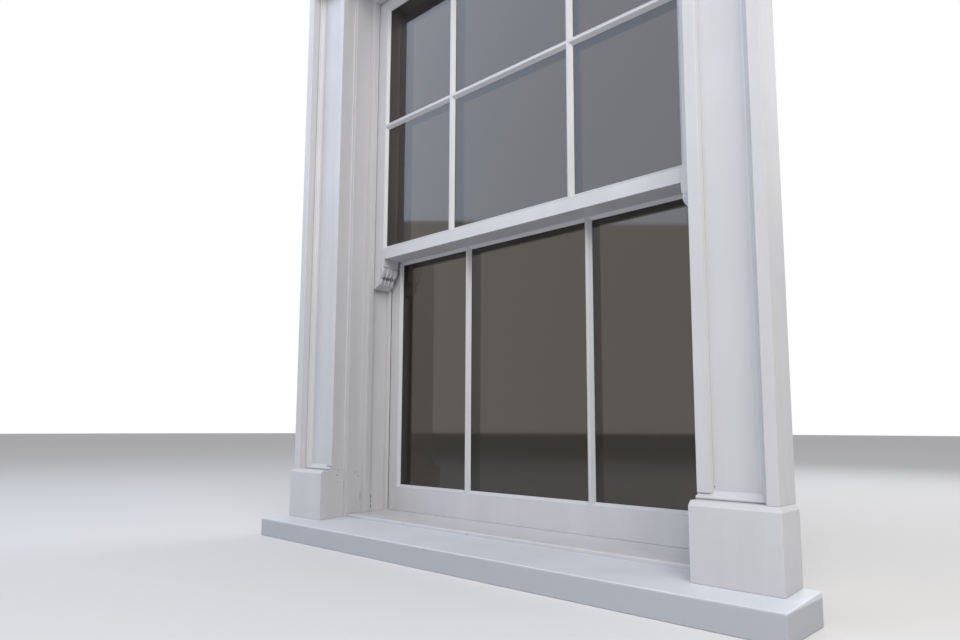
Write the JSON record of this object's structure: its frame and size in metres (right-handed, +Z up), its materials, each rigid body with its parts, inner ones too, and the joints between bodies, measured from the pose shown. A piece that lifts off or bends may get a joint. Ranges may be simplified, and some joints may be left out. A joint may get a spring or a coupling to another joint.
{
  "type": "double-hung box sash window",
  "caption": "Painted timber box sash window with two vertically sliding sashes, horns, glazing bars, counterweights, architrave casing on plinth blocks and a projecting sill.",
  "frame": {"origin": "underside of the sill, at the middle of the whole window's width and depth", "axes": "+X along the wall to the right as seen from outside, +Y from outside into the room, +Z up"},
  "size_m": [1.575, 0.3936, 1.951],
  "materials": {
    "painted_timber": "white gloss paint on softwood",
    "bare_timber": "unpainted softwood",
    "painted_stone": "white masonry paint on a rendered stone sill",
    "glass": "clear sheet glass, slightly green at its edges",
    "painted_putty": "linseed putty painted white",
    "brass": "lacquered brass, a little dulled",
    "brass_screw": "brass screws",
    "cast_iron": "rough sand-cast iron",
    "cotton_cord": "waxed braided cotton cord"
  },
  "bodies": {
    "frame": {"outer_sill": "painted_stone", "frame_sill": "painted_timber", "plinth_left": "painted_timber", "plinth_right": "painted_timber", "architrave_left": "painted_timber", "architrave_right": "painted_timber", "architrave_moulding_left": "painted_timber", "architrave_moulding_right": "painted_timber", "frieze_board": "painted_timber", "cap_board": "painted_timber", "reveal_left": "painted_timber", "reveal_right": "painted_timber", "reveal_head": "painted_timber", "outer_lining_left": "painted_timber", "outer_lining_right": "painted_timber", "outer_lining_head": "painted_timber", "pulley_stile_left": "painted_timber", "pulley_stile_right": "painted_timber", "frame_head": "painted_timber", "inner_linings": "painted_timber", "parting_beads": "painted_timber", "staff_beads": "painted_timber", "pocket_pieces": "painted_timber", "back_linings": "bare_timber", "parting_slips": "bare_timber", "pulley_cases": "brass", "pulley_screws": "brass_screw", "cord_upper_left": "cotton_cord", "cord_upper_right": "cotton_cord", "cord_lower_left": "cotton_cord", "cord_lower_right": "cotton_cord"},
    "upper_sash": {"upper_stile_left": "painted_timber", "upper_stile_right": "painted_timber", "upper_top_rail": "painted_timber", "upper_meeting_rail": "painted_timber", "upper_bars": "painted_timber", "upper_cross_bar": "painted_timber", "upper_panes": "glass", "upper_putty": "painted_putty", "fastener_keep": "brass", "keep_screws": "brass_screw"},
    "lower_sash": {"lower_stile_left": "painted_timber", "lower_stile_right": "painted_timber", "lower_bottom_rail": "painted_timber", "lower_meeting_rail": "painted_timber", "lower_bars": "painted_timber", "lower_panes": "glass", "lower_putty": "painted_putty", "sash_lifts": "brass", "fastener_base": "brass", "sash_screws": "brass_screw"},
    "fastener_lever": {"fastener_lever": "brass"},
    "wheel_upper_left": {"wheel_upper_left": "brass"},
    "weight_upper_left": {"weight_upper_left": "cast_iron"},
    "wheel_upper_right": {"wheel_upper_right": "brass"},
    "weight_upper_right": {"weight_upper_right": "cast_iron"},
    "wheel_lower_left": {"wheel_lower_left": "brass"},
    "weight_lower_left": {"weight_lower_left": "cast_iron"},
    "wheel_lower_right": {"wheel_lower_right": "brass"},
    "weight_lower_right": {"weight_lower_right": "cast_iron"}
  },
  "joints": [
    {"name": "upper_sash_slide", "type": "slide", "parent": "frame", "child": "upper_sash", "axis": [0, 0, 1], "range_m": [-0.68, 0], "deforming": ["cord_upper_left", "cord_upper_right"]},
    {"name": "lower_sash_slide", "type": "slide", "parent": "frame", "child": "lower_sash", "axis": [0, 0, 1], "range_m": [0, 0.8], "deforming": ["cord_lower_left", "cord_lower_right"]},
    {"name": "fastener_turn", "type": "hinge", "parent": "lower_sash", "child": "fastener_lever", "pos_m": [0, 0.12487, 0.9035], "axis": [0, 0, -1], "range_deg": [0, 90]},
    {"name": "weight_upper_left_run", "type": "slide", "parent": "frame", "child": "weight_upper_left", "axis": [0, 0, 1], "range_m": [0, 0.68]},
    {"name": "wheel_upper_left_turn", "type": "hinge", "parent": "frame", "child": "wheel_upper_left", "pos_m": [-0.595, 0.06828, 1.64975], "axis": [0, 1, 0], "range_deg": [0, 1393]},
    {"name": "weight_upper_right_run", "type": "slide", "parent": "frame", "child": "weight_upper_right", "axis": [0, 0, 1], "range_m": [0, 0.68]},
    {"name": "wheel_upper_right_turn", "type": "hinge", "parent": "frame", "child": "wheel_upper_right", "pos_m": [0.595, 0.06828, 1.64975], "axis": [0, 1, 0], "range_deg": [-1393, 0]},
    {"name": "weight_lower_left_run", "type": "slide", "parent": "frame", "child": "weight_lower_left", "axis": [0, 0, 1], "range_m": [-0.8, 0]},
    {"name": "wheel_lower_left_turn", "type": "hinge", "parent": "frame", "child": "wheel_lower_left", "pos_m": [-0.595, 0.13978, 1.64975], "axis": [0, 1, 0], "range_deg": [-1639, 0]},
    {"name": "weight_lower_right_run", "type": "slide", "parent": "frame", "child": "weight_lower_right", "axis": [0, 0, 1], "range_m": [-0.8, 0]},
    {"name": "wheel_lower_right_turn", "type": "hinge", "parent": "frame", "child": "wheel_lower_right", "pos_m": [0.595, 0.13978, 1.64975], "axis": [0, 1, 0], "range_deg": [0, 1639]}
  ],
  "couplings": [
    {"joint": "weight_upper_left_run", "follows": "upper_sash_slide", "ratio": -1},
    {"joint": "wheel_upper_left_turn", "follows": "upper_sash_slide", "rad_per_m": -35.714},
    {"joint": "weight_upper_right_run", "follows": "upper_sash_slide", "ratio": -1},
    {"joint": "wheel_upper_right_turn", "follows": "upper_sash_slide", "rad_per_m": 35.714},
    {"joint": "weight_lower_left_run", "follows": "lower_sash_slide", "ratio": -1},
    {"joint": "wheel_lower_left_turn", "follows": "lower_sash_slide", "rad_per_m": -35.714},
    {"joint": "weight_lower_right_run", "follows": "lower_sash_slide", "ratio": -1},
    {"joint": "wheel_lower_right_turn", "follows": "lower_sash_slide", "rad_per_m": 35.714}
  ]
}
